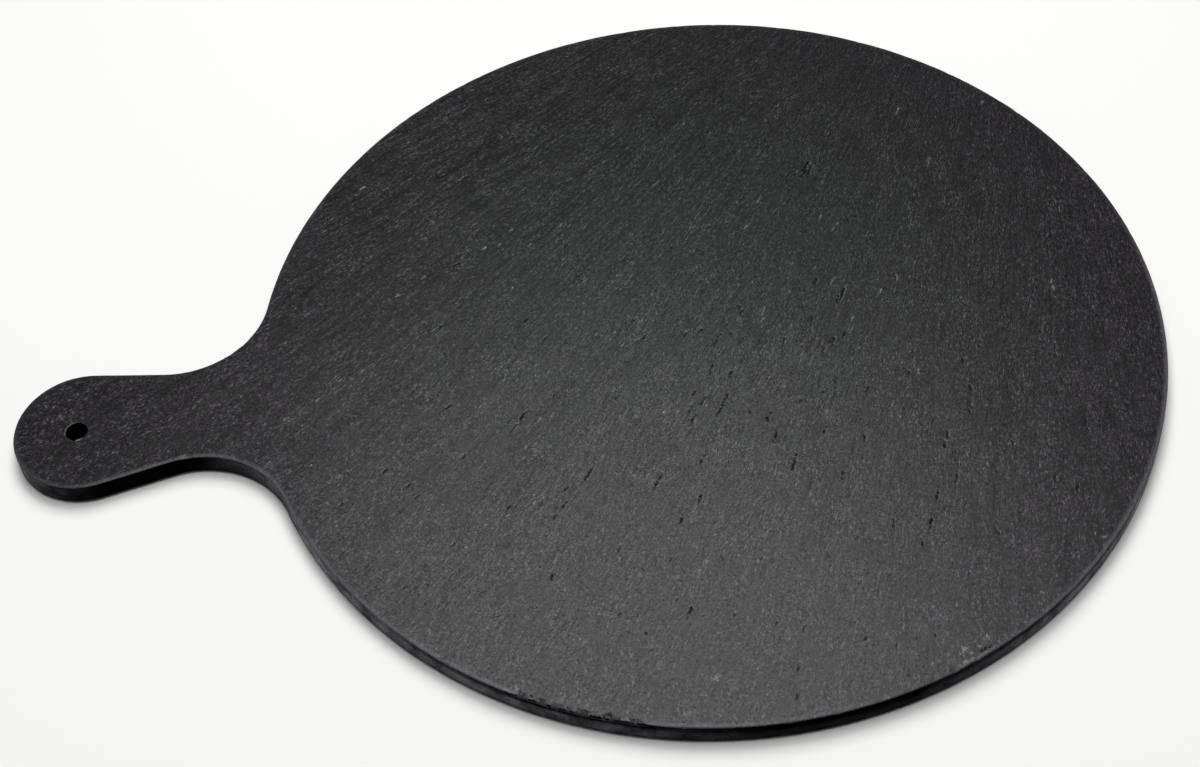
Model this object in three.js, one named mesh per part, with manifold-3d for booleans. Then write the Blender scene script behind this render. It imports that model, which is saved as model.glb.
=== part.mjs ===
// A round slate serving board with a short paddle handle and a hang hole, on four stick-on rubber feet.
// Millimetres, +Z up. The handle points along -X, and the feet stand on z = 0.
// The origin is on the table, under the middle of the board's length and width.

import * as THREE from 'three';
import { mergeVertices } from 'three/addons/utils/BufferGeometryUtils.js';
import Module from 'manifold-3d';

// Outline of the board, seen from above
const DISC_DIAMETER = 300;
const HANDLE_END_WIDTH = 46.5;
const HANDLE_SIDE_LENGTH = 23;
const HANDLE_TAPER = THREE.MathUtils.degToRad(10.5);
const NECK_FILLET_RADIUS = 31.5;

// Section of the board
const SLAB_THICKNESS = 7.5;
const ARRIS_WIDTH = 0.5;

// Hang hole, set back from the tip of the handle
const HANG_HOLE_DIAMETER = 7;
const HANG_HOLE_SETBACK = 20.8;
const DRILL_OVERRUN = 1;

// Stick-on feet, set in from the rim of the disc
const FOOT_DIAMETER = 14;
const FOOT_THICKNESS = 0.8;
const FOOT_EDGE_EASING = 0.25;
const FOOT_RIM_SETBACK = 34;
const ADHESIVE_THICKNESS = 0.2;
const ADHESIVE_INSET = 0.5;

// Facets of the round stretches
const OUTLINE_STEP = THREE.MathUtils.degToRad(4);
const ROUND_SIDES = 36;

const slate = new THREE.MeshStandardMaterial({ color: 0x454648, roughness: 0.6, metalness: 0 });
const rubber = new THREE.MeshStandardMaterial({ color: 0x1c1c1d, roughness: 0.85, metalness: 0 });
const adhesive = new THREE.MeshStandardMaterial({ color: 0xd9d5c6, roughness: 0.5, metalness: 0 });

const discRadius = DISC_DIAMETER / 2;
const handleEndRadius = HANDLE_END_WIDTH / 2;

// The neck fillet touches the handle's straight side and the disc. Its centre is one fillet radius out from
// both, which fixes how far the handle's end arc lies from the centre of the disc.
const filletReach = discRadius + NECK_FILLET_RADIUS;
const filletY =
  (handleEndRadius + NECK_FILLET_RADIUS) * Math.cos(HANDLE_TAPER) -
  HANDLE_SIDE_LENGTH * Math.sin(HANDLE_TAPER);
const filletX = -Math.sqrt(filletReach ** 2 - filletY ** 2);
const handleEndX =
  filletX -
  (handleEndRadius + NECK_FILLET_RADIUS) * Math.sin(HANDLE_TAPER) -
  HANDLE_SIDE_LENGTH * Math.cos(HANDLE_TAPER);
const handleTipX = handleEndX - handleEndRadius;

// The centre of the disc, when the middle of the whole length is at x = 0
const discX = -(discRadius + handleTipX) / 2;
const slabBottom = FOOT_THICKNESS + ADHESIVE_THICKNESS;

// An even number of steps puts a point on the middle of each arc
function arcPoints(x, y, radius, from, to, clockwise) {
  const curve = new THREE.EllipseCurve(x, y, radius, radius, from, to, clockwise);
  const halfSteps = Math.ceil(Math.abs(to - from) / (2 * OUTLINE_STEP));
  return curve.getPoints(2 * halfSteps);
}

// Round the disc, in along the far side of the neck, round the handle's end and back along the near side
function boardOutline() {
  const neckAngle = Math.atan2(filletY, -filletX);
  const quarter = Math.PI / 2;
  const disc = arcPoints(0, 0, discRadius, neckAngle - Math.PI, Math.PI - neckAngle, false);
  const farFillet = arcPoints(
    filletX, filletY, NECK_FILLET_RADIUS, -neckAngle, -(quarter + HANDLE_TAPER), true);
  const end = arcPoints(
    handleEndX, 0, handleEndRadius, quarter - HANDLE_TAPER, 3 * quarter + HANDLE_TAPER, false);
  const nearFillet = arcPoints(
    filletX, -filletY, NECK_FILLET_RADIUS, quarter + HANDLE_TAPER, neckAngle, true);
  // Each fillet shares a point with the disc, which the disc already holds
  return new THREE.Shape([...disc, ...farFillet.slice(1), ...end, ...nearFillet.slice(0, -1)]);
}

const wasm = await Module();
wasm.setup();

function toSolid(geometry) {
  geometry.deleteAttribute('normal');
  geometry.deleteAttribute('uv');
  const merged = mergeVertices(geometry);
  return new wasm.Manifold(new wasm.Mesh({
    numProp: 3,
    vertProperties: new Float32Array(merged.attributes.position.array),
    triVerts: new Uint32Array(merged.index.array),
  }));
}

function toGeometry(solid) {
  const mesh = solid.getMesh();
  const geometry = new THREE.BufferGeometry();
  geometry.setAttribute('position', new THREE.BufferAttribute(mesh.vertProperties, 3));
  geometry.setIndex(new THREE.BufferAttribute(mesh.triVerts, 1));
  geometry.computeVertexNormals();
  return geometry;
}

// The slab stands on z = 0 here, with both its edges eased by the arris and the hang hole drilled through
function slateBoard() {
  const blank = new THREE.ExtrudeGeometry(boardOutline(), {
    depth: SLAB_THICKNESS - 2 * ARRIS_WIDTH,
    bevelThickness: ARRIS_WIDTH,
    bevelSize: ARRIS_WIDTH,
    bevelOffset: -ARRIS_WIDTH,
    bevelSegments: 1,
  });
  blank.translate(0, 0, ARRIS_WIDTH);
  const holeRadius = HANG_HOLE_DIAMETER / 2;
  const drill = new THREE.CylinderGeometry(
    holeRadius, holeRadius, SLAB_THICKNESS + 2 * DRILL_OVERRUN, ROUND_SIDES);
  drill.rotateX(Math.PI / 2);
  drill.translate(handleTipX + HANG_HOLE_SETBACK, 0, SLAB_THICKNESS / 2);
  const mesh = new THREE.Mesh(toGeometry(toSolid(blank).subtract(toSolid(drill))), slate);
  mesh.name = 'slate_board';
  mesh.position.z = slabBottom;
  return mesh;
}

// A thin rubber disc with its lower edge eased
function foot(corner) {
  const radius = FOOT_DIAMETER / 2;
  const profile = [
    new THREE.Vector2(0, 0),
    new THREE.Vector2(radius - FOOT_EDGE_EASING, 0),
    new THREE.Vector2(radius, FOOT_EDGE_EASING),
    new THREE.Vector2(radius, FOOT_THICKNESS),
    new THREE.Vector2(0, FOOT_THICKNESS),
  ];
  const geometry = new THREE.LatheGeometry(profile, ROUND_SIDES);
  geometry.rotateX(Math.PI / 2);
  const mesh = new THREE.Mesh(geometry, rubber);
  mesh.name = `foot_${corner}`;
  return mesh;
}

// The adhesive between a foot and the stone, a little smaller than the foot
function adhesiveDisc(corner) {
  const radius = FOOT_DIAMETER / 2 - ADHESIVE_INSET;
  const geometry = new THREE.CylinderGeometry(radius, radius, ADHESIVE_THICKNESS, ROUND_SIDES);
  geometry.rotateX(Math.PI / 2);
  const mesh = new THREE.Mesh(geometry, adhesive);
  mesh.name = `adhesive_${corner}`;
  mesh.position.z = FOOT_THICKNESS + ADHESIVE_THICKNESS / 2;
  return mesh;
}

// Everything is placed from the centre of the disc
const servingBoard = new THREE.Group();
servingBoard.position.x = discX;
servingBoard.add(slateBoard());

const corners = {
  front_left: [-1, -1],
  front_right: [1, -1],
  back_left: [-1, 1],
  back_right: [1, 1],
};
const footReach = (discRadius - FOOT_RIM_SETBACK) * Math.SQRT1_2;
for (const [corner, [sideX, sideY]] of Object.entries(corners)) {
  const stack = new THREE.Group();
  stack.position.set(sideX * footReach, sideY * footReach, 0);
  stack.add(foot(corner), adhesiveDisc(corner));
  servingBoard.add(stack);
}

export default servingBoard;
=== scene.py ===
import math
import random

import bmesh
import bpy
from mathutils import Matrix, Vector, kdtree, noise


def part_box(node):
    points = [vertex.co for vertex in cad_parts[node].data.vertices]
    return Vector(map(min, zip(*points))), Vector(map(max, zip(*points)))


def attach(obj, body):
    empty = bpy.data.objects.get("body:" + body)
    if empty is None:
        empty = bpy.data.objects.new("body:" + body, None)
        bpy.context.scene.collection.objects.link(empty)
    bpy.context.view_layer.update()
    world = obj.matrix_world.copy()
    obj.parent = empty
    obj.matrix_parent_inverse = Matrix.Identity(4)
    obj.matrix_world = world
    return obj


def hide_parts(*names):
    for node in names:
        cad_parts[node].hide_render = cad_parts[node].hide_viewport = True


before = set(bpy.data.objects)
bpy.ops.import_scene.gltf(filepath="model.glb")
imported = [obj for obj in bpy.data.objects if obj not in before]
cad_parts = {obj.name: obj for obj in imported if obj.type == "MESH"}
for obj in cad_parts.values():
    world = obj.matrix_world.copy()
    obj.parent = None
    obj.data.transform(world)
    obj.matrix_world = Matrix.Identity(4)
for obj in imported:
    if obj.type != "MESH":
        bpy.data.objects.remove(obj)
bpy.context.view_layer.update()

# A slate serving board: a riven slab with sawn walls and a drilled hang hole, on stick-on rubber feet.
# Metres, +Z up. The handle points along -X.

MM = 0.001
UP = Vector((0, 0, 1))

# What counts as the same height or place, how close a cut may pass a point, and the steps of a rounded edge
TOUCHING = 0.01 * MM
CUT_TOLERANCE = 0.002 * MM
EDGE_SEGMENTS = 3

# The slab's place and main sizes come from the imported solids
SLAB_LOW, SLAB_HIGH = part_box("slate_board")
TOP_Z = SLAB_HIGH.z
UNDERSIDE_Z = SLAB_LOW.z
MIDDLE_Z = (TOP_Z + UNDERSIDE_Z) / 2
DISC_RADIUS = (SLAB_HIGH.y - SLAB_LOW.y) / 2
DISC_X = SLAB_HIGH.x - DISC_RADIUS

# The handle
HANDLE_END_RADIUS = 23.25 * MM
HANDLE_SIDE_LENGTH = 23 * MM
HANDLE_TAPER = math.radians(10.5)
NECK_FILLET_RADIUS = 31.5 * MM

# The hang hole, with its section from the collar to the wall in mm: how far out from the radius, and how deep
HOLE_RADIUS = 3.5 * MM
HOLE_X = SLAB_LOW.x + 20.8 * MM
HOLE_SIDES = 40
HOLE_PATCH = 6.2 * MM
HOLE_SECTION = ((2.3, 0), (1.5, 0), (0.8, 0), (0.22, 0), (0.08, 0.08), (0.02, 0.25), (0, 0.8), (0, 2.2))
HOLE_CHIP_BAND = 0.6 * MM
HOLE_CHIP_SIZE = 1.6 * MM
HOLE_CHIP = 0.22 * MM
HOLE_HIGHLIGHT_BAND = 0.3 * MM

# The worn arris with its nicks, and the sawn wall
ARRIS = 0.5 * MM
ARRIS_BAND = 1.2 * ARRIS
NICK_SIZE = 2.4 * MM
NICK_FROM = 0.25
NICK_DEPTH = 0.5 * MM
SAW_WAVE_LENGTH = 5 * MM
SAW_WAVE_HEIGHT = 0.8 * MM
SAW_WANDER = 0.05 * MM
SAWN_NORMALS = (-0.95, 0.45)

# The mesh that carries the relief
OUTLINE_PITCH = 1.2 * MM
RIM_BAND = 1.3 * MM
TOP_CELL = (1.2 * MM, 1.8 * MM)
UNDERSIDE_CELL = (3.2 * MM, 4.2 * MM)
WALL_COURSES = 7

# The grain fans out from a point beyond the far right rim
FAN_X = DISC_X + 165 * MM
FAN_Y = 232 * MM
FAN_REACH = 285 * MM
MEAN_GRAIN = Vector((math.cos(math.radians(55)), math.sin(math.radians(55)), 0))

# The riven relief: the sizes of its waves, across and along the grain, and their heights in mm
SWELL_SIZE = 58 * MM
LEAF_SIZE = (17 * MM, 80 * MM)
RIDGE_SIZE = (4.6 * MM, 34 * MM)
RIPPLE_SIZE = (2.1 * MM, 13 * MM)
LEAF_STEPS = 3
LEAF_SLOPE = 0.12
SWELL_HEIGHT = 0.10
LEAF_HEIGHT = 0.028
RIDGE_HEIGHT = 0.026
RIPPLE_HEIGHT = 0.012
TOP_LAYER = 0
UNDERSIDE_LAYER = 40

# The stretch of arris at the front left where the top leaf has broken away, by bearing from the disc
RAGGED_FROM = math.radians(-125)
RAGGED_TO = math.radians(-106)
RAGGED_ENDS = math.radians(2.5)
RAGGED_DEPTH = 0.7 * MM
RAGGED_REACH = 1.2 * MM
RAGGED_STEP = 0.15 * MM
RAGGED_SHADOW = 0.8 * MM
RAGGED_TOOTH = 0.65 * MM
RAGGED_SLANT = 1.3
RAGGED_BITE = 4 * MM
RAGGED_FADE = 2.5 * MM
RAGGED_MESH_WIDTH = 2.6 * MM
RAGGED_MESH_DEPTH = 1.2 * MM
RAGGED_CUTS = 6

# Rows of lifted flakes along the grain, or along the rim where they are close to it: x, y and length in mm,
# from the disc's centre, and how bold
FLAKE_ROWS = (
    (-1, -31, 10, 0.8), (13, -38, 4, 0.9), (13, -47, 4, 1.0), (15, -43, 6, 0.4), (-12, -52, 2, 1.0),
    (-10, -49, 3, 0.4), (-27, -57, 7, 0.7), (17, -58, 7, 0.7), (-15, -66, 3, 1.0), (-22, -73, 2, 0.8),
    (31, -66, 3, 0.6), (29, -48, 2, 0.7), (41, -53, 2, 0.8), (37, -55, 6, 0.4), (41, -43, 6, 0.4),
    (36, -15, 3, 0.6), (40, -12, 4, 0.8), (24, -9, 3, 0.7), (11, -5, 4, 0.6), (3, -3, 5, 0.6),
    (-2, -16, 5, 0.7), (4, -19, 3, 0.6), (-11, -34, 4, 0.8), (-7, -28, 4, 0.7), (-11, -30, 5, 0.5),
    (-7, 1, 2, 0.5), (7, 3, 5, 0.5), (17, -29, 5, 0.4), (24, -34, 2, 0.5), (32, -32, 2, 0.6),
    (37, -28, 2, 0.5), (47, 7, 7, 1.2), (45, 5, 5, 0.8), (40, 15, 3, 1.1), (65, -60, 3, 1.0),
    (67, -57, 3, 1.0), (77, -47, 6, 0.7), (79, -40, 2, 0.7), (53, -90, 6, 0.9), (49, -96, 2, 0.8),
    (58, -79, 3, 0.8), (65, -75, 5, 0.7), (42, -87, 3, 0.6), (101, -85, 3, 1.0), (95, -61, 4, 0.5),
    (86, -65, 1, 0.6), (111, -64, 2, 0.6), (-48, -50, 5, 0.9), (-26, -107, 5, 0.8), (-28, -87, 2, 0.7),
    (-65, -86, 2, 0.8), (-43, -80, 2, 0.6), (-40, -112, 2, 0.5), (-40, -118, 2, 0.5), (-47, -104, 2, 0.6),
    (-68, -26, 4, 0.7), (-65, -22, 4, 1.0), (-54, -16, 2, 0.6), (-99, -5, 2, 0.8), (-140, 23, 3, 0.9),
    (-129, 11, 2, 0.6), (-54, 8, 4, 0.5), (-75, -58, 3, 0.8), (-56, -54, 2, 0.5), (-57, -60, 3, 1.0),
    (-61, -64, 2, 0.6), (-86, -35, 2, 0.6), (-105, -43, 2, 0.6), (-103, -48, 2, 0.6), (24, -126, 2, 0.8),
    (58, -136, 3, 0.9), (-79, 47, 2, 1.6), (-80, 28, 2, 0.5), (37, 58, 2, 0.5), (-21, 39, 5, 0.5),
    (57, 40, 2, 0.5), (47, 65, 4, 1.6), (48, 68, 5, 2.0), (49, 69, 3, 2.2), (49, 66, 4, 1.4),
    (-76, -128, 6, 1.3), (-69, -132, 7, 1.4), (-62, -135, 6, 1.2), (-55, -138, 6, 1.4), (-48, -141, 5, 1.3),
)
FLAKE_SEED = 5
FLAKE_DEPTH = 0.26 * MM

# Pale flecks, in the same way
PALE_ROWS = (
    (-100, 37, 2, 1.0), (-123, 4, 1, 1.0), (-68, 53, 1, 1.0), (-58, 59, 2, 0.7), (-53, 51, 2, 0.8),
    (-38, 57, 2, 0.7), (-61, 33, 1, 0.9), (-135, -29, 1, 1.0), (-60, -25, 2, 0.8), (-56, -24, 2, 0.8),
    (-20, -30, 1, 1.0), (-6, -30, 1, 1.0), (-22, -132, 1, 1.0), (18, -1, 1, 1.0), (19, 2, 2, 0.9),
    (20, 5, 3, 0.9), (53, -41, 2, 0.8), (54, -47, 1, 0.6), (64, -30, 2, 0.7), (86, 88, 4, 1.0),
    (92, 71, 1, 0.8), (91, 61, 2, 0.6), (29, 56, 4, 0.7), (22, 44, 2, 0.7), (48, 43, 2, 0.7),
    (51, 37, 2, 0.7), (53, 39, 1, 0.8), (45, 13, 3, 0.7), (67, 11, 2, 0.7), (60, 6, 2, 0.8),
    (48, -4, 3, 0.6), (6, -17, 2, 0.6), (39, 93, 1, 0.7), (-12, 90, 1, 0.8), (117, -1, 2, 0.7),
    (117, -4, 2, 0.7), (-39, -114, 2, 0.5), (-198, -11, 1, 1.0), (-131, -3, 1, 0.8), (-63, 53, 2, 0.8),
    (-33, 55, 2, 0.6), (-107, 90, 2, 0.8), (-94, 45, 2, 0.7), (-90, 44, 1, 0.6), (-105, 47, 1, 0.7),
    (2, 39, 1, 0.7), (-74, 119, 1, 0.9), (-41, 58, 2, 0.6), (94, -96, 1, 0.7), (41, 21, 2, 0.7),
    (129, 30, 2, 0.8), (141, 29, 2, 0.7), (117, 86, 2, 0.6), (-34, 64, 9, 0.3), (-88, 103, 6, 0.4),
)
PALE_SEED = 7
PALE_RISE = 0.03 * MM

# How a row breaks into pieces: their pitch, half lengths as shares of it, half widths in mm, and strengths
PIECE_LENGTH = 1.4 * MM
PIECE_HALF_LENGTH = (0.5, 0.75)
PIECE_HALF_WIDTH = (0.28, 0.46)
PIECE_STRENGTH = (0.75, 1.0)
ROW_TURN = math.radians(14)
ROW_STRAY = 0.18 * MM
ROW_FADE = 0.75
RIM_ROWS = 3 * MM
RIM_TURN = math.radians(22)
RIM_STRAY = 0.3 * MM

# The pale lip beside a bold piece is a painted highlight
LIP_FROM = 0.45
LIP_LENGTH = 0.8
LIP_WIDTH = 0.22 * MM
LIP_STRENGTH = 0.4

# Pale scuffs near the rim at the front right, most of them at the first bearing. Half widths are in mm.
SCUFF_SEED = 23
SCUFF_COUNT = 40
SCUFF_FROM = math.radians(-70)
SCUFF_TO = math.radians(-44)
SCUFF_INSET = (0.8 * MM, 6 * MM)
SCUFF_HALF_WIDTH = (0.2, 0.4)
SCUFF_SLIMNESS = (1, 2.5)
SCUFF_STRENGTH = (0.3, 0.9)

# Small pits scattered over the top face
PIT_SEED = 11
PIT_COUNT = 90
PIT_LENGTH = (0.8 * MM, 2.4 * MM)
PIT_SLIMNESS = (0.2, 0.45)
PIT_STRENGTH = 0.45
PIT_RIM_GAP = 5 * MM

# How every mark is cut: its search, its ragged sides, its slopes, and the finer mesh round it
MARK_SEARCH = 1.3
MARK_RAGGEDNESS = 1.5
MARK_NOISE_SIZE = 0.45 * MM
MARK_SLOPE = 0.5
MARK_EDGE = 0.4
MARK_MARGIN_ALONG = 0.6 * MM
MARK_MARGIN_ACROSS = 0.55 * MM
MARK_CUTS = 4

# The feet and their adhesive films
FOOT_EDGE = 0.22 * MM
FOOT_WOBBLE = 0.05 * MM
FILM_EDGE = 0.05 * MM
FILM_WOBBLE = 0.3 * MM
WOBBLE_SIZE = 3 * MM
CAP_INSET = 0.12
FOOT_SIDES = 72
CORNERS = ("front_left", "front_right", "back_left", "back_right")

# Colours of the split faces
VIOLET_STONE = (0.0176, 0.0131, 0.0178, 1)
GREEN_STONE = (0.0105, 0.0160, 0.0128, 1)
DARK_DASH = (0.004, 0.004, 0.0045, 1)
PALE_SPECK = (0.15, 0.15, 0.145, 1)
# Pale of the flecks and scuffs, also used as the painted highlight of the lips
PALE_FLECK_AND_HIGHLIGHT = (0.27, 0.27, 0.26, 1)
# A painted highlight for the pale fringe round the flakes
LIP_HIGHLIGHT = (0.06, 0.06, 0.058, 1)
# Near-black of painted shadow, for the flakes, the pits and the broken step of the arris
FLAKE_SHADOW_BLACK = (0.002, 0.002, 0.0023, 1)
# Pale of the worn arris, which is partly a painted highlight
ARRIS_WEAR_AND_HIGHLIGHT = (0.125, 0.118, 0.132, 1)

# Colours of the wall and the feet
SAWN_STONE = (0.0060, 0.0095, 0.0180, 1)
# Near-black of painted shade on the wall and in the hole
SHADE_BLACK = (0.001, 0.001, 0.0012, 1)
RUBBER = (0.011, 0.011, 0.012, 1)
RUBBER_DUST = (0.05, 0.05, 0.048, 1)
FILM_DARK = (0.55, 0.50, 0.38, 1)
FILM_PALE = (0.72, 0.69, 0.60, 1)

# The mean sheen of the split faces, and the least
MEAN_SHEEN = 0.328
LEAST_SHEEN = 0.02

# The floor, the sky's light and the lamps, placed from the middle of the disc
FLOOR_SIZE = 6
FLOOR_COLOUR = (0.945, 0.945, 0.935, 1)
SKY_OVERHEAD = 0.22
SKY_HORIZON = 0.16
KEY_PLACE = Vector((0.033, 0.582, 1.30))
KEY_SIZE = 0.8
KEY_POWER = 9.5
OVERHEAD_PLACE = Vector((0, -0.05, 1.5))
OVERHEAD_SIZE = 1.2
OVERHEAD_POWER = 13

# The camera, as the photograph was taken
PHOTO_WIDTH = 1200
FOCAL_PIXELS = 2257.85
SENSOR_WIDTH = 36
CLIP_START = 0.01
CAMERA_BEARING = math.radians(-5.411)
CAMERA_ELEVATION = math.radians(51.26)
CAMERA_ROLL = math.radians(-4.755)
CAMERA_DISTANCE = 739.0 * MM
CAMERA_TARGET = Vector((DISC_X - 38.49 * MM, -14.27 * MM, TOP_Z))


# Riven relief

def grain_direction(x, y):
    return Vector((FAN_X - x, FAN_Y - y, 0)).normalized()


def grain_noise(x, y, width, length, layer):
    """Noise drawn out along the fan of the grain."""
    across = math.atan2(y - FAN_Y, x - FAN_X) * FAN_REACH
    along = math.hypot(x - FAN_X, y - FAN_Y)
    return noise.noise(Vector((across / width, along / length, layer)))


def riven_height(x, y, layer):
    """How far the split face stands above or below its mean plane. Each wave has its own layer of noise."""
    swell = noise.noise(Vector((x / SWELL_SIZE, y / SWELL_SIZE, layer)))
    leaf = grain_noise(x, y, *LEAF_SIZE, layer + 7) * LEAF_STEPS
    terrace = math.floor(leaf) + min(1, (leaf - math.floor(leaf)) / LEAF_SLOPE)
    ridge = grain_noise(x, y, *RIDGE_SIZE, layer + 3)
    ripple = grain_noise(x, y, *RIPPLE_SIZE, layer + 5)
    height = SWELL_HEIGHT * swell + LEAF_HEIGHT * terrace + RIDGE_HEIGHT * ridge + RIPPLE_HEIGHT * ripple
    return height * MM


# Slab outline

def sweep(bm, vert, centre, angle):
    """Carries a point round a centre, leaving edges behind it, and returns the point at the end."""
    steps = max(2, round(abs(angle) * (vert.co - centre).length / OUTLINE_PITCH))
    swept = bmesh.ops.spin(bm, geom=[vert], cent=centre, axis=UP, angle=angle, steps=steps)
    return swept["geom_last"][0]


def run_straight(bm, vert, offset):
    """Carries a point along a line in the same way."""
    steps = round(offset.length / OUTLINE_PITCH)
    for _ in range(steps):
        vert = bmesh.ops.extrude_vert_indiv(bm, verts=[vert])["verts"][0]
        bmesh.ops.translate(bm, verts=[vert], vec=offset / steps)
    return vert


def trace_outline(bm):
    """Disc, far fillet, handle end and near fillet, as one closed face on the underside's plane."""
    reach = HANDLE_END_RADIUS + NECK_FILLET_RADIUS
    side_x = HANDLE_SIDE_LENGTH * math.cos(HANDLE_TAPER)
    side_y = HANDLE_SIDE_LENGTH * math.sin(HANDLE_TAPER)
    fillet_y = reach * math.cos(HANDLE_TAPER) - side_y
    fillet_x = -math.sqrt((DISC_RADIUS + NECK_FILLET_RADIUS) ** 2 - fillet_y ** 2)
    end_x = fillet_x - reach * math.sin(HANDLE_TAPER) - side_x
    neck_angle = math.atan2(fillet_y, -fillet_x)
    fillet_turn = math.pi / 2 + HANDLE_TAPER - neck_angle

    def at(x, y):
        return Vector((DISC_X + x, y, UNDERSIDE_Z))

    start = at(-DISC_RADIUS * math.cos(neck_angle), -DISC_RADIUS * math.sin(neck_angle))
    vert = bmesh.ops.create_vert(bm, co=start)["vert"][0]
    vert = sweep(bm, vert, at(0, 0), 2 * math.pi - 2 * neck_angle)
    vert = sweep(bm, vert, at(fillet_x, fillet_y), -fillet_turn)
    vert = run_straight(bm, vert, Vector((-side_x, side_y, 0)))
    vert = sweep(bm, vert, at(end_x, 0), math.pi + 2 * HANDLE_TAPER)
    vert = run_straight(bm, vert, Vector((side_x, side_y, 0)))
    sweep(bm, vert, at(fillet_x, -fillet_y), -fillet_turn)
    bmesh.ops.remove_doubles(bm, verts=bm.verts[:], dist=TOUCHING)
    return bmesh.ops.edgeloop_fill(bm, edges=bm.edges[:])["faces"][0]


# Mesh helpers

def edges_of(faces):
    """Each edge of the faces once, in the order that it is met."""
    return list(dict.fromkeys(edge for face in faces for edge in face.edges))


def with_bounds(faces):
    """The faces with their edges and corners, as the cutting operators take them."""
    verts = dict.fromkeys(vert for face in faces for vert in face.verts)
    return [*faces, *edges_of(faces), *verts]


def slice_faces(bm, faces, normal, pitch):
    """Cuts faces by evenly spaced planes. Each cut goes only through what lies beyond the cut before."""
    reaches = [vert.co.dot(normal) for face in faces for vert in face.verts]
    first = math.floor(min(reaches) / pitch) + 1
    last = math.ceil(max(reaches) / pitch) - 1
    behind = []
    ahead = list(faces)
    for i in range(first, last + 1):
        cut = bmesh.ops.bisect_plane(
            bm, geom=with_bounds(ahead), dist=CUT_TOLERANCE, plane_co=normal * (i * pitch), plane_no=normal)
        ahead = []
        for face in cut["geom"]:
            if isinstance(face, bmesh.types.BMFace):
                beyond = face.calc_center_median().dot(normal) > i * pitch
                (ahead if beyond else behind).append(face)
    return behind + ahead


def refine(bm, wanted, cuts):
    """Divides the faces whose middles are wanted, for detail finer than the cells."""
    faces = [f for f in bm.faces if wanted(f.calc_center_median())]
    bmesh.ops.subdivide_edges(bm, edges=edges_of(faces), cuts=cuts, use_grid_fill=True)


def ease_level_edges(bm, width):
    """Rounds off every edge that lies level."""
    edges = [e for e in bm.edges if abs(e.verts[0].co.z - e.verts[1].co.z) < TOUCHING]
    bmesh.ops.bevel(bm, geom=edges, offset=width, offset_type="OFFSET", segments=EDGE_SEGMENTS, profile=0.5,
                    affect="EDGES", material=-1)


def point_tree(points):
    """A tree that finds the points near a place."""
    tree = kdtree.KDTree(len(points))
    for i, point in enumerate(points):
        tree.insert(point, i)
    tree.balance()
    return tree


def add_object(bm, name, materials):
    mesh = bpy.data.meshes.new(name)
    bm.to_mesh(mesh)
    bm.free()
    for material in materials:
        mesh.materials.append(material)
    made = bpy.data.objects.new(name, mesh)
    bpy.context.scene.collection.objects.link(made)
    return made


def finish_piece(bm, name, nodes, materials):
    for face in bm.faces:
        face.smooth = True
    piece = add_object(bm, name, materials)
    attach(piece, "root")
    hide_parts(*nodes)


# Places on the slab

def from_disc(x, y, z=TOP_Z):
    """A place that is given in millimetres from the disc's centre."""
    return Vector((DISC_X + x * MM, y * MM, z))


def bearing_and_inset(co):
    """A point's bearing from the disc's centre, and how far it lies in from the disc's rim."""
    x = co.x - DISC_X
    return math.atan2(co.y, x), DISC_RADIUS - math.hypot(x, co.y)


# Marks on the top face, each given by its middle, direction, half length, half width and strength

def broken_rows(rows, seed):
    """Each row as a line of slim pieces, boldest at one place."""
    rng = random.Random(seed)
    for x, y, length, strength in rows:
        middle = from_disc(x, y)
        bearing, inset = bearing_and_inset(middle)
        heading = grain_direction(middle.x, middle.y)
        turn, stray, fade = ROW_TURN, ROW_STRAY, ROW_FADE
        if abs(inset) < RIM_ROWS:
            heading = Vector((-math.sin(bearing), math.cos(bearing), 0))
            turn, stray, fade = RIM_TURN, RIM_STRAY, 0
        pieces = max(1, round(length * MM / PIECE_LENGTH))
        boldest = rng.random()
        for i in range(pieces):
            share = (i + 0.5) / pieces
            bold = strength * (1 - fade * abs(share - boldest))
            along = Matrix.Rotation(rng.uniform(-turn, turn), 3, UP) @ heading
            place = middle + heading * (share - 0.5) * length * MM
            place += UP.cross(along) * rng.uniform(-stray, stray)
            half_length = length * MM / pieces * rng.uniform(*PIECE_HALF_LENGTH)
            half_width = rng.uniform(*PIECE_HALF_WIDTH) * (0.5 + 0.6 * bold) * MM
            yield place, along, half_length, half_width, bold * rng.uniform(*PIECE_STRENGTH)


def highlight_lips(marks):
    """The raised edge beside each bold mark, on the side that faces the front, painted pale as a highlight.
    """
    for middle, along, half_length, half_width, strength in marks:
        if strength > LIP_FROM:
            beside = middle - UP.cross(along) * (half_width + LIP_WIDTH)
            yield beside, along, LIP_LENGTH * half_length, LIP_WIDTH, LIP_STRENGTH * strength


def rim_scuffs():
    rng = random.Random(SCUFF_SEED)
    least, most = SCUFF_INSET
    for _ in range(SCUFF_COUNT):
        bearing = SCUFF_FROM + (SCUFF_TO - SCUFF_FROM) * rng.random() ** 3
        reach = DISC_RADIUS - least - (most - least) * rng.random() ** 2
        middle = Vector((DISC_X + reach * math.cos(bearing), reach * math.sin(bearing), TOP_Z))
        along = Matrix.Rotation(rng.uniform(0, math.pi), 3, UP) @ MEAN_GRAIN
        half_width = rng.uniform(*SCUFF_HALF_WIDTH) * MM
        half_length = half_width * rng.uniform(*SCUFF_SLIMNESS)
        yield middle, along, half_length, half_width, rng.uniform(*SCUFF_STRENGTH)


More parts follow.
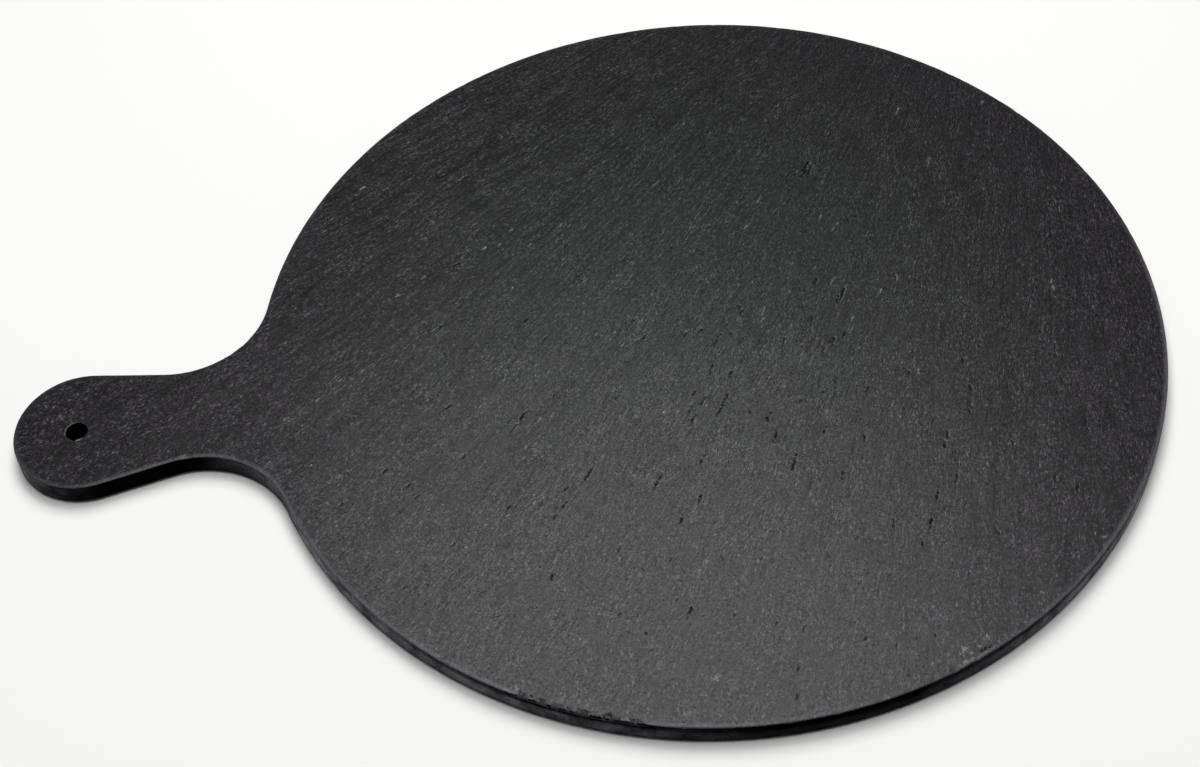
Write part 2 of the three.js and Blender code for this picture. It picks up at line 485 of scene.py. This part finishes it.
def scattered_pits():
    rng = random.Random(PIT_SEED)
    made = 0
    while made < PIT_COUNT:
        x = rng.uniform(SLAB_LOW.x, SLAB_HIGH.x)
        y = rng.uniform(SLAB_LOW.y, SLAB_HIGH.y)
        middle = Vector((x, y, TOP_Z))
        half_length = rng.uniform(*PIT_LENGTH) / 2
        slimness = rng.uniform(*PIT_SLIMNESS)
        on_disc = math.hypot(middle.x - DISC_X, middle.y) < DISC_RADIUS - PIT_RIM_GAP
        on_handle = abs(middle.y) < HANDLE_END_RADIUS / 2 and abs(middle.x - HOLE_X) > 2 * HOLE_RADIUS
        if on_disc or (on_handle and middle.x > SLAB_LOW.x + PIT_RIM_GAP):
            made += 1
            along = grain_direction(middle.x, middle.y)
            yield middle, along, half_length, half_length * slimness, PIT_STRENGTH


def lay_marks(bm, marks, layer, depth):
    """Lays marks with a level floor and ragged sides, and returns how far each point drops."""
    verts = [v for v in bm.verts if v.co.z > TOP_Z - TOUCHING]
    tree = point_tree([v.co for v in verts])
    drops = {}
    for middle, along, half_length, half_width, strength in marks:
        across = UP.cross(along)
        for co, i, _ in tree.find_range(middle, max(half_length, half_width) * MARK_SEARCH):
            offset = co - middle
            run = offset.dot(along) / half_length
            # A mark tapers towards its near end
            width = half_width * max(0.3, 0.8 + 0.35 * run)
            apart = run ** 2 + (offset.dot(across) / width) ** 2
            inside = 1 - apart * (1 + MARK_RAGGEDNESS * noise.noise(co / MARK_NOISE_SIZE))
            if inside > 0:
                drops[verts[i]] = strength * depth * min(1, inside / MARK_SLOPE)
                verts[i][layer] = max(verts[i][layer], strength * min(1, inside / MARK_EDGE))
    return drops


def refine_marks(bm, marks):
    """Divides the top face round the marks."""
    tree = point_tree([mark[0] for mark in marks])

    def near_a_mark(co):
        if co.z < TOP_Z - TOUCHING:
            return False
        for middle, i, _ in tree.find_n(co, 2):
            _, along, half_length, half_width, _ = marks[i]
            offset = co - middle
            if abs(offset.dot(along)) < half_length + MARK_MARGIN_ALONG:
                if abs(offset.cross(along).z) < half_width + MARK_MARGIN_ACROSS:
                    return True
        return False

    refine(bm, near_a_mark, MARK_CUTS)


# The broken stretch of the arris

def is_ragged(co):
    bearing, inset = bearing_and_inset(co)
    close = inset < RAGGED_MESH_WIDTH and co.z > TOP_Z - RAGGED_MESH_DEPTH
    return close and RAGGED_FROM < bearing < RAGGED_TO


def past_ragged_edge(co):
    """How far out a point lies from the ragged edge that is left where the top leaf has broken away."""
    bearing, inset = bearing_and_inset(co)
    if not RAGGED_FROM < bearing < RAGGED_TO:
        return 0
    place = bearing * DISC_RADIUS
    ends = min(1, min(bearing - RAGGED_FROM, RAGGED_TO - bearing) / RAGGED_ENDS)
    tooth = noise.cell(Vector(((place - RAGGED_SLANT * inset) / RAGGED_TOOTH, 0.5, 0.5)))
    bite = noise.noise(Vector((place / RAGGED_BITE, 0, 2)))
    return RAGGED_REACH * ends * max(0.4, 0.25 + 0.6 * tooth + 0.9 * bite) - inset


# Slab mesh

def grid_face(bm, face, cell):
    """Cuts a face of the slab into cells that lie along and across the mean grain."""
    strips = slice_faces(bm, [face], UP.cross(MEAN_GRAIN), cell[0])
    return slice_faces(bm, strips, MEAN_GRAIN, cell[1])


def open_patch(bm, cells, cell):
    """Takes away the cells round the hang hole."""
    hole = Vector((HOLE_X, 0, 0))
    across = UP.cross(MEAN_GRAIN)
    patch = []
    for face in cells:
        offset = face.calc_center_median() - hole
        inside = abs(offset.dot(across)) < HOLE_PATCH + cell[0] / 2
        if inside and abs(offset.dot(MEAN_GRAIN)) < HOLE_PATCH + cell[1] / 2:
            patch.append(face)
    bmesh.ops.delete(bm, geom=patch, context="FACES")


def drill_hole(bm):
    """A sleeve spun round the hole's axis, with a collar in each face that is filled out to the cells."""
    upper = [(HOLE_RADIUS + flare * MM, TOP_Z - depth * MM) for flare, depth in HOLE_SECTION]
    lower = [(radius, 2 * MIDDLE_Z - z) for radius, z in reversed(upper)]
    verts = [bmesh.ops.create_vert(bm, co=(HOLE_X + r, 0, z))["vert"][0] for r, z in upper + lower]
    edges = [bm.edges.new(pair) for pair in zip(verts, verts[1:])]
    bmesh.ops.spin(bm, geom=verts + edges, cent=(HOLE_X, 0, 0), axis=UP, angle=2 * math.pi,
                   steps=HOLE_SIDES, use_merge=True)
    for on_top in (True, False):
        rims = [e for e in bm.edges if e.is_boundary and (e.verts[0].co.z > MIDDLE_Z) == on_top]
        bmesh.ops.triangle_fill(bm, edges=rims, use_beauty=True, normal=UP)


def plain_slab(bm, arris_wear_and_highlight_layer):
    """The slab with flat faces, in cells, and its arris marked."""
    underside = trace_outline(bm)
    raised = bmesh.ops.extrude_face_region(bm, geom=[underside], use_keep_orig=True)["geom"]
    bmesh.ops.translate(
        bm, verts=[g for g in raised if isinstance(g, bmesh.types.BMVert)], vec=UP * (TOP_Z - UNDERSIDE_Z))
    bmesh.ops.recalc_face_normals(bm, faces=bm.faces[:])
    ease_level_edges(bm, ARRIS)
    for vert in bm.verts:
        vert[arris_wear_and_highlight_layer] = vert.co.z > TOP_Z - 0.9 * ARRIS
    caps = sorted(bm.faces, key=lambda f: len(f.verts))[-2:]
    top, underside = sorted(caps, key=lambda f: -f.calc_center_median().z)
    walls = [f for f in bm.faces if abs(f.normal.z) < 0.1]
    slice_faces(bm, walls, UP, (TOP_Z - UNDERSIDE_Z) / WALL_COURSES)
    bmesh.ops.inset_region(bm, faces=[top], thickness=RIM_BAND, use_even_offset=True)
    for vert in top.verts:
        vert[arris_wear_and_highlight_layer] = 0
    open_patch(bm, grid_face(bm, top, TOP_CELL), TOP_CELL)
    open_patch(bm, grid_face(bm, underside, UNDERSIDE_CELL), UNDERSIDE_CELL)
    drill_hole(bm)


def shape_slab(bm, drops, arris_wear_and_highlight_layer, flake_shade_layer):
    """Gives every face of the plain slab its riven, sawn, worn or broken relief."""
    bm.normal_update()
    hole = Vector((HOLE_X, 0))
    for vert in bm.verts:
        co = vert.co.copy()
        moved = Vector()
        from_hole = co.to_2d() - hole
        if from_hole.length < HOLE_RADIUS + HOLE_CHIP_BAND:
            out = from_hole.normalized().to_3d()
            moved += out * HOLE_CHIP * noise.noise(co / HOLE_CHIP_SIZE)
            # The near side of the hole's rim is painted pale as a highlight
            if co.z > TOP_Z - HOLE_HIGHLIGHT_BAND and from_hole.length < HOLE_RADIUS + HOLE_HIGHLIGHT_BAND:
                vert[arris_wear_and_highlight_layer] = max(0, -out.y)
        elif abs(vert.normal.z) < 0.9:
            out = vert.normal.to_2d().to_3d().normalized()
            wave = Vector((co.x / SAW_WAVE_LENGTH, co.y / SAW_WAVE_LENGTH, co.z / SAW_WAVE_HEIGHT))
            moved += out * SAW_WANDER * noise.noise(wave)
        if co.z > TOP_Z - ARRIS_BAND:
            nick = max(0, noise.noise(co / NICK_SIZE) - NICK_FROM)
            moved.z += riven_height(co.x, co.y, TOP_LAYER) - NICK_DEPTH * nick * vert[arris_wear_and_highlight_layer]
        elif co.z < UNDERSIDE_Z + ARRIS_BAND:
            moved.z += max(0, riven_height(co.x, co.y, UNDERSIDE_LAYER))
        moved.z -= drops.get(vert, 0)
        past = past_ragged_edge(co)
        if past > 0 and co.z > TOP_Z - RAGGED_FADE:
            fade = min(1, 1.3 * (co.z - TOP_Z + RAGGED_FADE) / RAGGED_FADE)
            share = min(1, past / RAGGED_STEP)
            moved.z -= RAGGED_DEPTH * share * fade
            shadow = share * max(0.1, min(1, 2 - past / RAGGED_SHADOW))
            vert[flake_shade_layer] = max(vert[flake_shade_layer], shadow * fade)
            vert[arris_wear_and_highlight_layer] *= 1 - 0.6 * share
        vert.co = co + moved


def slate_board():
    bm = bmesh.new()
    arris_wear_and_highlight_layer = bm.verts.layers.float.new("arris_wear_and_highlight")
    flake_shade_layer = bm.verts.layers.float.new("flake_shade")
    fleck_and_highlight_layer = bm.verts.layers.float.new("fleck_and_highlight")
    plain_slab(bm, arris_wear_and_highlight_layer)
    marks = [*broken_rows(FLAKE_ROWS, FLAKE_SEED), *scattered_pits()]
    # The pale lips beside the bold flakes go in with the pale flecks and scuffs, as painted highlights
    flecks = [*broken_rows(PALE_ROWS, PALE_SEED), *rim_scuffs(), *highlight_lips(marks)]
    refine_marks(bm, marks + flecks)
    refine(bm, is_ragged, RAGGED_CUTS)
    drops = lay_marks(bm, flecks, fleck_and_highlight_layer, -PALE_RISE)
    # The flakes and pits write their strength into the flake layer, which the materials paint as shadow
    drops.update(lay_marks(bm, marks, flake_shade_layer, FLAKE_DEPTH))
    shape_slab(bm, drops, arris_wear_and_highlight_layer, flake_shade_layer)
    bmesh.ops.recalc_face_normals(bm, faces=bm.faces[:])
    bm.normal_update()
    lowest, highest = SAWN_NORMALS
    for face in bm.faces:
        face.material_index = 1 if lowest < face.normal.z < highest else 0
    finish_piece(bm, "slate", ["slate_board"], [riven_slate(), sawn_slate()])


# Feet

def round_pad(node_name, edge, wobble):
    """A disc that fills a round node, with soft edges and a rim that wanders by a little."""
    low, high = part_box(node_name)
    middle = (low + high) / 2
    radius = (high.x - low.x) / 2
    bm = bmesh.new()
    bmesh.ops.create_cone(bm, cap_ends=True, segments=FOOT_SIDES, radius1=radius, radius2=radius,
                          depth=high.z - low.z, matrix=Matrix.Translation(middle))
    ease_level_edges(bm, edge)
    caps = [f for f in bm.faces if abs(f.normal.z) > 0.9 and len(f.verts) > 4]
    bmesh.ops.inset_individual(bm, faces=caps, thickness=radius * CAP_INSET, use_even_offset=True)
    for vert in bm.verts:
        out = (vert.co - middle).to_2d().to_3d()
        share = out.length / radius
        vert.co -= out.normalized() * wobble * share * (0.5 + 0.5 * noise.noise(vert.co / WOBBLE_SIZE))
    return bm


def foot(corner, rubber):
    bm = round_pad("foot_" + corner, FOOT_EDGE, FOOT_WOBBLE)
    finish_piece(bm, "rubber_foot_" + corner, ["foot_" + corner], [rubber])


def adhesive(corner, film):
    bm = round_pad("adhesive_" + corner, FILM_EDGE, FILM_WOBBLE)
    finish_piece(bm, "adhesive_film_" + corner, ["adhesive_" + corner], [film])


# Shader helpers

def plug(tree, socket, value):
    """Links a socket to an input, or sets the input's value."""
    if isinstance(value, bpy.types.NodeSocket):
        tree.links.new(value, socket)
    else:
        socket.default_value = value


def node(tree, kind, feeds=None, **settings):
    """A new node with its settings. Each feed is a socket to link or a value to set."""
    made = tree.nodes.new("ShaderNode" + kind)
    for name, value in settings.items():
        setattr(made, name, value)
    for name, value in (feeds or {}).items():
        plug(tree, made.inputs[name], value)
    return made


def feed(tree, shader, **sockets):
    for name, value in sockets.items():
        plug(tree, shader.inputs[name.replace("_", " ")], value)


def calc(tree, operation, *values):
    """A Math node's result."""
    return node(tree, "Math", dict(enumerate(values)), operation=operation).outputs[0]


def product(tree, value, *factors):
    for factor in factors:
        value = calc(tree, "MULTIPLY", value, factor)
    return value


def spread(tree, value, low, high, to_low, to_high):
    """A value's range, mapped to another and held there."""
    feeds = {"Value": value, "From Min": low, "From Max": high, "To Min": to_low, "To Max": to_high}
    return node(tree, "MapRange", feeds).outputs[0]


def vary(tree, streak, to_low, to_high):
    """The range that most of a streak texture lies in, mapped to another."""
    return spread(tree, streak, 0.3, 0.7, to_low, to_high)


def between(tree, share, at_none, at_full):
    """A share from 0 to 1, mapped to another range."""
    return spread(tree, share, 0.0, 1.0, at_none, at_full)


def mix(tree, share, below, above, blend="MIX"):
    made = node(tree, "Mix", {0: share, 6: below, 7: above}, data_type="RGBA", blend_type=blend)
    return made.outputs[2]


def grey(tree, value):
    return node(tree, "CombineColor", {0: value, 1: value, 2: value}).outputs[0]


def bumped(tree, height, distance, strength):
    return node(tree, "Bump", {"Height": height, "Distance": distance, "Strength": strength}).outputs[0]


def in_millimetres(tree, place):
    return node(tree, "VectorMath", {0: place, 1: (1 / MM,) * 3}, operation="MULTIPLY").outputs[0]


def attribute(tree, name):
    return node(tree, "Attribute", attribute_name=name).outputs["Fac"]


# Node groups

def new_group(name, inputs, outputs):
    """A shader node group, with what comes in and the sockets to put out."""
    tree = bpy.data.node_groups.new(name, "ShaderNodeTree")
    for label, kind in inputs.items():
        tree.interface.new_socket(label, in_out="INPUT", socket_type="NodeSocket" + kind)
    for label, kind in outputs.items():
        tree.interface.new_socket(label, in_out="OUTPUT", socket_type="NodeSocket" + kind)
    return tree, tree.nodes.new("NodeGroupInput").outputs, tree.nodes.new("NodeGroupOutput").inputs


def placed(tree, group, **feeds):
    return node(tree, "Group", feeds, node_tree=group).outputs[0]


def grain_fan_group():
    """Object coordinates in metres to millimetres across and along the fan of the grain, which wavers."""
    tree, come, put = new_group("Grain fan", {"Place": "Vector"}, {"Place": "Vector"})
    offset = node(tree, "VectorMath", {0: come["Place"], 1: (FAN_X, FAN_Y, 0)}, operation="SUBTRACT")
    parts = node(tree, "SeparateXYZ", {0: offset.outputs[0]}).outputs
    angle = calc(tree, "ARCTAN2", parts["Y"], parts["X"])
    across = calc(tree, "MULTIPLY", angle, FAN_REACH / MM)
    drift = node(tree, "TexNoise", {"Vector": come["Place"], "Scale": 30.0, "Detail": 1.0}).outputs["Fac"]
    across = calc(tree, "MULTIPLY_ADD", drift, 6.0, across)
    flat = node(tree, "CombineXYZ", {"X": parts["X"], "Y": parts["Y"]})
    distance = node(tree, "VectorMath", {0: flat.outputs[0]}, operation="LENGTH")
    along = calc(tree, "DIVIDE", distance.outputs["Value"], MM)
    height = calc(tree, "DIVIDE", parts["Z"], MM)
    place = node(tree, "CombineXYZ", {"X": across, "Y": along, "Z": height})
    tree.links.new(place.outputs[0], put["Place"])
    return tree


def streaks_group():
    """Streaks of a given width and length, from 0 to 1."""
    tree, come, put = new_group(
        "Grain streaks", {"Place": "Vector", "Width": "Float", "Length": "Float"}, {"Streak": "Float"})
    size = node(tree, "CombineXYZ", {"X": come["Width"], "Y": come["Length"], "Z": come["Width"]})
    scaled = node(tree, "VectorMath", {0: come["Place"], 1: size.outputs[0]}, operation="DIVIDE")
    texture = node(tree, "TexNoise", {
        "Vector": scaled.outputs[0], "Scale": 1.0, "Detail": 1.0, "Roughness": 0.5, "Distortion": 0.2})
    tree.links.new(texture.outputs["Fac"], put["Streak"])
    return tree


def flecks_group():
    """Separate specks: Spacing apart, Slim times as long as wide, in a Share of the places."""
    tree, come, put = new_group(
        "Pale flecks",
        {"Place": "Vector", "Spacing": "Float", "Slim": "Float", "Share": "Float", "Size": "Float"},
        {"Fleck": "Float"})
    length = calc(tree, "MULTIPLY", come["Spacing"], come["Slim"])
    size = node(tree, "CombineXYZ", {"X": come["Spacing"], "Y": length, "Z": come["Spacing"]})
    scaled = node(tree, "VectorMath", {0: come["Place"], 1: size.outputs[0]}, operation="DIVIDE")
    cells = node(tree, "TexVoronoi", {"Vector": scaled.outputs[0], "Scale": 1.0})
    pick = node(tree, "SeparateColor", {0: cells.outputs["Color"]})
    chosen = calc(tree, "LESS_THAN", pick.outputs["Red"], come["Share"])
    near = calc(tree, "SUBTRACT", 1.0, calc(tree, "DIVIDE", cells.outputs["Distance"], come["Size"]))
    soft = calc(tree, "MAXIMUM", near, 0.0)
    tree.links.new(product(tree, soft, pick.outputs["Green"], chosen), put["Fleck"])
    return tree


def stretch_group():
    """1 round a middle, falling to 0 between an inner and an outer distance from it."""
    tree, come, put = new_group(
        "Stretch",
        {"Place": "Vector", "Middle": "Vector", "Inner": "Float", "Outer": "Float"},
        {"Share": "Float"})
    reach = node(tree, "VectorMath", {0: come["Place"], 1: come["Middle"]}, operation="DISTANCE")
    share = spread(tree, reach.outputs["Value"], come["Inner"], come["Outer"], 1.0, 0.0)
    tree.links.new(share, put["Share"])
    return tree


GRAIN_FAN = grain_fan_group()
STREAKS = streaks_group()
FLECKS = flecks_group()
STRETCH = stretch_group()


def streaks(tree, place, width, length):
    return placed(tree, STREAKS, Place=place, Width=width, Length=length)


def around(tree, place, middle, inner, outer):
    """The share of a stretch round a middle, with its two distances in millimetres."""
    return placed(tree, STRETCH, Place=place, Middle=middle, Inner=inner * MM, Outer=outer * MM)


# Finishes

FRONT = (DISC_X + 10 * MM, -DISC_RADIUS, MIDDLE_Z)


def new_material(name):
    """A material with its tree, its Principled shader and the object coordinates."""
    material = bpy.data.materials.new(name)
    material.use_nodes = True
    tree = material.node_tree
    place = node(tree, "TexCoord").outputs["Object"]
    return material, tree, tree.nodes["Principled BSDF"], place


def riven_slate():
    """The split faces: grey-green to violet-grey stone with drawn-out grain and flecks, flakes and pits
    darkened with painted shadow, pale lips of painted highlight, and a worn arris that also carries a painted
    highlight.
    """
    material, tree, shader, place = new_material("riven_slate")
    fan = placed(tree, GRAIN_FAN, Place=place)
    crumb = streaks(tree, fan, 0.3, 0.4)
    grit = streaks(tree, fan, 0.46, 0.62)
    dim = streaks(tree, fan, 0.6, 0.9)
    hue = streaks(tree, fan, 0.9, 1.3)
    fibre = streaks(tree, fan, 0.42, 1.7)
    mottle = streaks(tree, fan, 1.1, 2.2)
    thread = streaks(tree, fan, 0.5, 7.0)
    streak = streaks(tree, fan, 1.4, 18.0)
    patch = streaks(tree, fan, 9.0, 16.0)
    small = placed(tree, FLECKS, Place=fan, Spacing=1.6, Slim=2.6, Share=0.06, Size=0.28)
    large = placed(tree, FLECKS, Place=fan, Spacing=9.0, Slim=1.8, Share=0.10, Size=0.07)
    dash = placed(tree, FLECKS, Place=fan, Spacing=1.9, Slim=3.2, Share=0.14, Size=0.36)

    # Pale fibres on a fine grit give the colour, and the tops of the grains and threads give the sheen
    pale = product(tree, spread(tree, fibre, 0.48, 0.74, 0.0, 1.0), vary(tree, patch, 0.6, 1.4))
    fibres = calc(tree, "MULTIPLY_ADD", pale, 0.95, 0.78)
    tone = product(tree, spread(tree, grit, 0.28, 0.72, 0.5, 1.5), fibres)
    gloss = product(
        tree, spread(tree, grit, 0.28, 0.72, 0.58, 1.42), vary(tree, thread, 0.6, 1.4),
        spread(tree, crumb, 0.28, 0.72, 0.75, 1.25))

    # The lifted flakes are painted dark as shadow, with torn edges, and here and there a flake has pale lips
    # that are a painted highlight
    flake_shade = attribute(tree, "flake_shade")
    torn = calc(tree, "MULTIPLY_ADD", flake_shade, 1.8, vary(tree, crumb, 0.0, -0.9))
    # Painted shadow over the flakes and the broken arris, with torn edges
    broken = product(tree, spread(tree, torn, -0.1, 0.3, 0.0, 1.0), spread(tree, flake_shade, 0.2, 0.9, 0.6, 1.0))
    # A pale fringe round the flakes, as a painted highlight
    lip_highlight = product(tree, spread(tree, flake_shade, 0.02, 0.2, 0.0, 1.0), spread(tree, grit, 0.5, 0.7, 0.0, 0.6))

    # Greenish in the middle and violet towards the rim, with the boldest streaks at the back left
    middle = around(tree, place, from_disc(-5, 30), 40, 150)
    green = calc(tree, "MULTIPLY_ADD", middle, 0.6, vary(tree, hue, -0.45, 0.85))
    tint = mix(tree, green, VIOLET_STONE, GREEN_STONE)
    far_left = around(tree, place, from_disc(-70, 90), 40, 130)
    band = product(tree, calc(tree, "SUBTRACT", streak, 0.5), between(tree, far_left, 1.5, 3.0))
    band = calc(tree, "MAXIMUM", calc(tree, "ADD", band, 1.0), 0.3)
    band = product(tree, band, vary(tree, mottle, 0.72, 1.28))
    stone = mix(tree, 1.0, tint, grey(tree, product(tree, tone, tone, band)), "MULTIPLY")

    # Dark dashes, pale specks and the placed marks lie on that ground: pale flecks, lips of painted
    # highlight, and painted shadow in the flakes, the pits and the broken step of the arris
    stone = mix(tree, dash, stone, DARK_DASH)
    specks = calc(tree, "MINIMUM", calc(tree, "ADD", small, large), 1.0)
    stone = mix(tree, product(tree, specks, 0.8), stone, PALE_SPECK)
    stone = mix(tree, lip_highlight, stone, LIP_HIGHLIGHT)
    # Pale flecks and scuffs, and the painted highlight of the lips
    fleck = product(tree, attribute(tree, "fleck_and_highlight"), spread(tree, grit, 0.3, 0.6, 0.3, 1.0))
    stone = mix(tree, fleck, stone, PALE_FLECK_AND_HIGHLIGHT)
    stone = mix(tree, product(tree, broken, 0.88), stone, FLAKE_SHADOW_BLACK)

    # The arris is pale, partly with wear and partly as a painted highlight, least in the middle of the front,
    # at the back and on the handle
    front = around(tree, place, FRONT, 25, 95)
    parts = node(tree, "SeparateXYZ", {0: place}).outputs
    wear_and_highlight = product(
        tree, attribute(tree, "arris_wear_and_highlight"), vary(tree, crumb, 0.3, 1.0), between(tree, front, 1.0, 0.35),
        spread(tree, parts["Y"], -10 * MM, 25 * MM, 1.0, 0.25),
        spread(tree, parts["X"], DISC_X - 175 * MM, DISC_X - 140 * MM, 0.45, 1.0))
    stone = mix(tree, wear_and_highlight, stone, ARRIS_WEAR_AND_HIGHLIGHT)

    # The sheen varies most round the middle and least at the front, and fails in dim grains and in hollows,
    # where its loss is painted shade
    coarse = around(tree, place, from_disc(35, -5), 50, 130)
    smooth = around(tree, place, FRONT, 50, 130)
    swing = product(
        tree, calc(tree, "SUBTRACT", gloss, 1.0), between(tree, coarse, 0.17, 0.255),
        between(tree, smooth, 1.0, 0.64), vary(tree, patch, 0.65, 1.35))
    sheen = calc(tree, "MAXIMUM", calc(tree, "ADD", swing, MEAN_SHEEN), LEAST_SHEEN)
    hollow = calc(tree, "MAXIMUM", broken, product(tree, dash, 0.6))
    sheen = product(tree, sheen, spread(tree, dim, 0.27, 0.40, 0.45, 1.0), between(tree, hollow, 1.0, 0.06))
    feed(tree, shader, Base_Color=stone, Roughness=vary(tree, grit, 0.6, 0.5), Coat_Weight=sheen,
         Normal=bumped(tree, tone, 0.03 * MM, 1.0),
         Specular_IOR_Level=0.05, Coat_Roughness=0.26, Coat_IOR=1.5)
    return material


def sawn_slate():
    """The cut wall and the drilled hole: very dark blue stone, painted blackest as shade at the front, on the
    handle, in the hole and on the broken step.
    """
    material, tree, shader, place = new_material("sawn_slate")
    scaled = in_millimetres(tree, place)
    turned = node(tree, "Mapping", {"Vector": scaled, "Rotation": (math.pi / 2, 0, 0)}).outputs[0]
    saw = streaks(tree, turned, 14.0, 0.5)
    fine = streaks(tree, scaled, 0.8, 0.8)
    blotch = streaks(tree, scaled, 6.0, 6.0)

    # A dark line runs under the arris, and the foot of the wall is darkened as painted shade
    height = node(tree, "SeparateXYZ", {0: place}).outputs["Z"]
    near = around(tree, place, FRONT, 110, 190)
    line = product(tree, near, spread(tree, height, TOP_Z - 3.2 * MM, TOP_Z - 1.8 * MM, 0.0, 0.65))
    foot_shade = spread(tree, height, UNDERSIDE_Z + 0.2 * MM, UNDERSIDE_Z + 1.3 * MM, 0.1, 1.0)
    marks = product(
        tree, vary(tree, saw, 0.8, 1.2), spread(tree, fine, 0.25, 0.75, 0.5, 1.5),
        spread(tree, blotch, 0.35, 0.65, 0.55, 1.45), calc(tree, "SUBTRACT", 1.0, line), foot_shade)

    # Painted shade: blackest at the front and a little less low down, on the handle's near side, in the hole
    # and on the broken step of the arris, and the coat fades under it
    front = around(tree, place, FRONT, 25, 85)
    upper = spread(tree, height, UNDERSIDE_Z + 2 * MM, TOP_Z - 2.5 * MM, 0.85, 1.0)
    handle = around(tree, place, from_disc(-188, -20, MIDDLE_Z), 17, 58)
    bore = around(tree, place, (HOLE_X, 0, MIDDLE_Z), 6, 8)
    painted_shade = product(tree, front, upper)
    for other in (handle, bore, attribute(tree, "flake_shade")):
        painted_shade = calc(tree, "MAXIMUM", painted_shade, other)

    stone = mix(tree, 1.0, SAWN_STONE, grey(tree, marks), "MULTIPLY")
    stone = mix(tree, painted_shade, stone, SHADE_BLACK)
    sheen = product(tree, marks, between(tree, painted_shade, 0.68, 0.012))
    feed(tree, shader, Base_Color=stone, Roughness=vary(tree, fine, 0.6, 0.5), Coat_Weight=sheen,
         Normal=bumped(tree, saw, 0.05 * MM, 0.5),
         Specular_IOR_Level=0.0, Coat_Roughness=0.42, Coat_IOR=1.5)
    return material


def foot_rubber():
    material, tree, shader, place = new_material("foot_rubber")
    scaled = in_millimetres(tree, place)
    fine = streaks(tree, scaled, 0.35, 0.35)
    dust = streaks(tree, scaled, 4.0, 4.0)
    colour = mix(tree, spread(tree, dust, 0.4, 0.8, 0.0, 0.35), RUBBER, RUBBER_DUST)
    feed(tree, shader, Base_Color=colour, Roughness=vary(tree, fine, 0.75, 0.9),
         Normal=bumped(tree, fine, 0.04 * MM, 0.6))
    return material


def foot_adhesive():
    material, tree, shader, place = new_material("foot_adhesive")
    smear = streaks(tree, in_millimetres(tree, place), 1.2, 1.2)
    colour = mix(tree, smear, FILM_DARK, FILM_PALE)
    feed(tree, shader, Base_Color=colour, Roughness=vary(tree, smear, 0.35, 0.55))
    return material


# The object

slate_board()
rubber = foot_rubber()
film = foot_adhesive()
for corner in CORNERS:
    foot(corner, rubber)
    adhesive(corner, film)


# Stage, light and camera

def pale_floor():
    material = bpy.data.materials.new("pale_floor")
    material.use_nodes = True
    tree = material.node_tree
    feed(tree, tree.nodes["Principled BSDF"], Base_Color=FLOOR_COLOUR, Roughness=0.9, Specular_IOR_Level=0.1)
    bm = bmesh.new()
    bmesh.ops.create_grid(bm, x_segments=1, y_segments=1, size=FLOOR_SIZE)
    floor = add_object(bm, "floor", [material])


def area_lamp(name, offset, size, power):
    """A round lamp that points at the middle of the disc."""
    lamp = bpy.data.lights.new(name, "AREA")
    lamp.shape = "DISK"
    lamp.size = size
    lamp.energy = power
    holder = bpy.data.objects.new(name, lamp)
    holder.location = Vector((DISC_X, 0, 0)) + offset
    holder.rotation_mode = "QUATERNION"
    holder.rotation_quaternion = (-offset).to_track_quat("-Z", "Y")
    bpy.context.scene.collection.objects.link(holder)


def studio_light():
    """A soft sky, bright overhead and along the horizon, and two lamps."""
    world = bpy.data.worlds.new("studio")
    bpy.context.scene.world = world
    world.use_nodes = True
    tree = world.node_tree
    direction = node(tree, "TexCoord").outputs["Generated"]
    rise = node(tree, "SeparateXYZ", {0: direction}).outputs["Z"]
    overhead = spread(tree, rise, 0.4, 1.0, 0.0, SKY_OVERHEAD)
    horizon = spread(tree, rise, 0.2, 0.5, SKY_HORIZON, 0.0)
    feed(tree, tree.nodes["Background"], Color=(1, 1, 1, 1), Strength=calc(tree, "ADD", overhead, horizon))
    area_lamp("key", KEY_PLACE, KEY_SIZE, KEY_POWER)
    area_lamp("overhead", OVERHEAD_PLACE, OVERHEAD_SIZE, OVERHEAD_POWER)


def photo_camera():
    lens = bpy.data.cameras.new("camera")
    lens.sensor_width = SENSOR_WIDTH
    lens.lens = FOCAL_PIXELS / PHOTO_WIDTH * SENSOR_WIDTH
    lens.clip_start = CLIP_START
    camera = bpy.data.objects.new("camera", lens)
    level = math.cos(CAMERA_ELEVATION)
    back = Vector((
        math.sin(CAMERA_BEARING) * level, -math.cos(CAMERA_BEARING) * level, math.sin(CAMERA_ELEVATION)))
    place = Matrix.Translation(CAMERA_TARGET + back * CAMERA_DISTANCE)
    aim = (-back).to_track_quat("-Z", "Y").to_matrix().to_4x4()
    camera.matrix_world = place @ aim @ Matrix.Rotation(CAMERA_ROLL, 4, "Z")
    bpy.context.scene.collection.objects.link(camera)
    bpy.context.scene.camera = camera


pale_floor()
studio_light()
photo_camera()
bpy.context.scene.view_settings.view_transform = "Standard"
